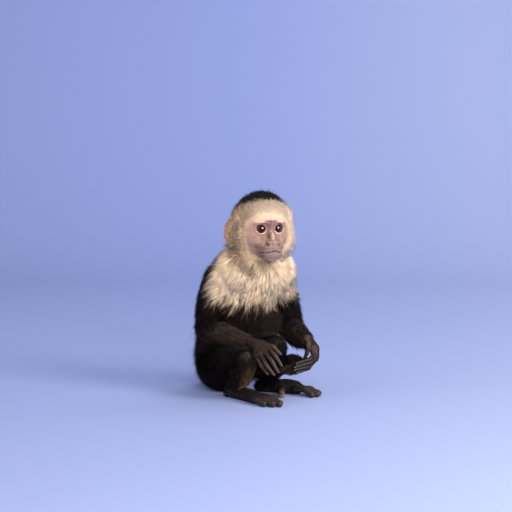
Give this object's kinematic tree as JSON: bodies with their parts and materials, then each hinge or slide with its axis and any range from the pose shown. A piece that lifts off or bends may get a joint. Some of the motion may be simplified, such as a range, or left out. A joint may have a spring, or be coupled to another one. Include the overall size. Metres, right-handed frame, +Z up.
{
  "type": "capuchin monkey model",
  "caption": "Life-size still model of a white-faced capuchin monkey, sitting with bent knees, a hand over one knee and the tail curled round to the other hand.",
  "frame": {"origin": "on the floor under the middle of the pelvis, at the rump's flat", "axes": "+Z up, -Y the way the chest and feet face, +X the monkey's left side"},
  "size_m": [0.1884, 0.2659, 0.3144],
  "materials": {
    "fur_cream": "long soft fur, cream",
    "fur_dark": "dense fur, dark brown to black",
    "skin_ear": "thin pinkish-brown skin",
    "skin_hand": "grey-brown creased skin",
    "eye_brown": "wet, dark brown"
  },
  "bodies": {
    "root": {"head": "fur_cream", "ear_right": "skin_ear", "ear_left": "skin_ear", "eye_right": "eye_brown", "eye_left": "eye_brown", "neck": "fur_cream", "chest": "fur_cream", "pelvis": "fur_dark", "upper_arm_right": "fur_dark", "upper_arm_left": "fur_dark", "forearm_right": "fur_dark", "forearm_left": "fur_dark", "hand_right": "skin_hand", "hand_left": "skin_hand", "thigh_right": "fur_dark", "thigh_left": "fur_dark", "shin_right": "fur_dark", "shin_left": "fur_dark", "foot_right": "skin_hand", "foot_left": "skin_hand", "tail_base": "fur_dark", "tail_middle": "fur_dark", "tail_front": "fur_dark", "tail_tip": "fur_dark"}
  },
  "joints": []
}
